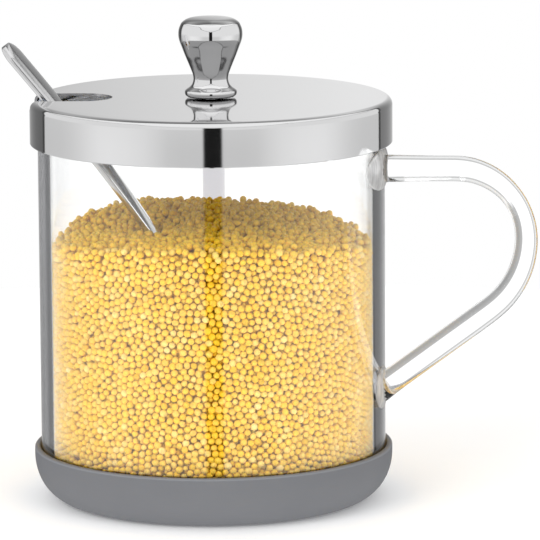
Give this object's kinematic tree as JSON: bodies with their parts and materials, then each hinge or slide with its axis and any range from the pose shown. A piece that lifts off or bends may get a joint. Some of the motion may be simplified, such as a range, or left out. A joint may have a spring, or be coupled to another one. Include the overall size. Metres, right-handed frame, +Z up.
{
  "type": "spice jar",
  "caption": "Cylindrical glass spice jar with a looped glass handle, a grey silicone foot, a notched steel lid with a knob, and a spoon leaning through the notch.",
  "frame": {"origin": "on the jar's axis, on the flat underside of the silicone foot", "axes": "+Z up along the jar's axis, +X from the axis towards the glass handle"},
  "size_m": [0.1306, 0.0884, 0.1185],
  "materials": {
    "clear_glass": "clear polished borosilicate glass",
    "mirror_steel": "polished stainless steel",
    "spoon_steel": "polished stainless steel with fine wear",
    "hidden_steel": "plain stainless steel",
    "grey_silicone": "matt grey silicone",
    "clear_silicone": "translucent white silicone",
    "millet": "loose hulled yellow millet; wood gives about its bulk density"
  },
  "bodies": {
    "jar": {"glass_body": "clear_glass", "glass_handle": "clear_glass", "silicone_base": "grey_silicone", "millet_fill": "millet"},
    "lid": {"lid_shell": "mirror_steel", "lid_seal": "clear_silicone", "lid_knob": "mirror_steel", "knob_washer": "hidden_steel", "knob_screw": "hidden_steel"},
    "spoon": {"spoon": "spoon_steel"}
  },
  "joints": [
    {"name": "lid_lift", "type": "slide", "parent": "jar", "child": "lid", "axis": [0, 0, 1], "range_m": [0, 0.06]},
    {"name": "spoon_swing", "type": "hinge", "parent": "jar", "child": "spoon", "pos_m": [0.02984, 0.00526, 0.00722], "axis": [-0.1736, 0.9848, 0], "range_deg": [0, 17], "deforming": ["millet_fill"]}
  ],
  "couplings": [
    {"joint": "spoon_swing", "follows": "lid_lift", "rad_per_m": 4.8869}
  ]
}
